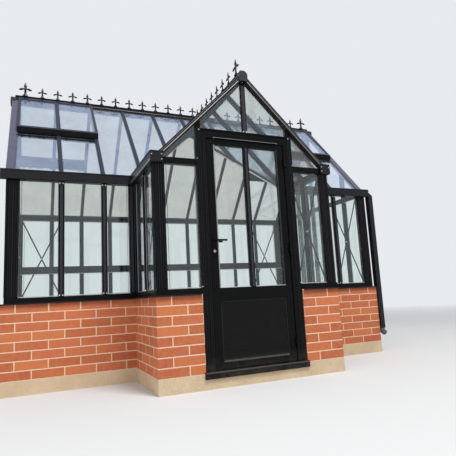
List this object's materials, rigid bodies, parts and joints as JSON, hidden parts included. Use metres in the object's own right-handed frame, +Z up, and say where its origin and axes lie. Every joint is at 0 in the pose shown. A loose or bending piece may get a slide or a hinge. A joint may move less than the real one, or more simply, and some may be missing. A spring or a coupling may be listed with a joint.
{
  "type": "glass greenhouse",
  "caption": "Victorian-style glass greenhouse on a low brick wall, with a gabled entrance porch, a half-glazed hinged door, steep glazed roofs with cresting, roof vents and gutters.",
  "frame": {"origin": "centre of the main body's base at ground level", "axes": "X along the main ridge, with the downpipe at +X; Y from the porch at -Y to the back wall; Z up"},
  "size_m": [4.0453, 2.889, 3.2109],
  "materials": {
    "frame_metal": "satin",
    "gutter_metal": "satin",
    "handle_metal": "semi-gloss",
    "panel": "satin",
    "glass": "clear",
    "brick": "matt",
    "concrete": "matt",
    "shoe_metal": "satin"
  },
  "bodies": {
    "building": {"back_rafters": "frame_metal", "back_rail": "frame_metal", "back_roof_glass": "glass", "corner_posts": "frame_metal", "cross_beams": "frame_metal", "cross_mullions": "frame_metal", "cross_sills": "frame_metal", "cross_wall_glass": "glass", "cross_walls": "brick", "door_frame": "frame_metal", "door_posts": "frame_metal", "downpipe": "gutter_metal", "downpipe_shoe": "shoe_metal", "front_rafters": "frame_metal", "front_roof_glass": "glass", "gable_glass": "glass", "gable_mullions": "frame_metal", "hinge_brackets": "frame_metal", "long_beams": "frame_metal", "long_mullions": "frame_metal", "long_sills": "frame_metal", "long_wall_glass": "glass", "long_walls": "brick", "main_base": "concrete", "main_gutters": "gutter_metal", "main_ridge": "frame_metal", "main_verges": "frame_metal", "porch_base": "concrete", "porch_gable_glass": "glass", "porch_gutters": "gutter_metal", "porch_rafters": "frame_metal", "porch_ridge": "frame_metal", "porch_roof_glass": "glass", "porch_transoms": "frame_metal", "porch_verges": "frame_metal", "ridge_caps": "frame_metal", "ridge_cresting": "frame_metal", "roof_vents": "frame_metal", "valley_bars": "frame_metal", "vent_glass": "glass", "vent_sills": "frame_metal", "wind_braces": "frame_metal"},
    "door": {"door_handles": "handle_metal", "door_leaf": "frame_metal", "hinge_leaves": "frame_metal", "leaf_glass": "glass", "leaf_panel": "panel"}
  },
  "joints": [
    {"name": "door_hinge", "type": "hinge", "parent": "building", "child": "door", "pos_m": [0.3775, -1.807, 1.1], "axis": [0, 0, 1], "range_deg": [0, 110]}
  ]
}
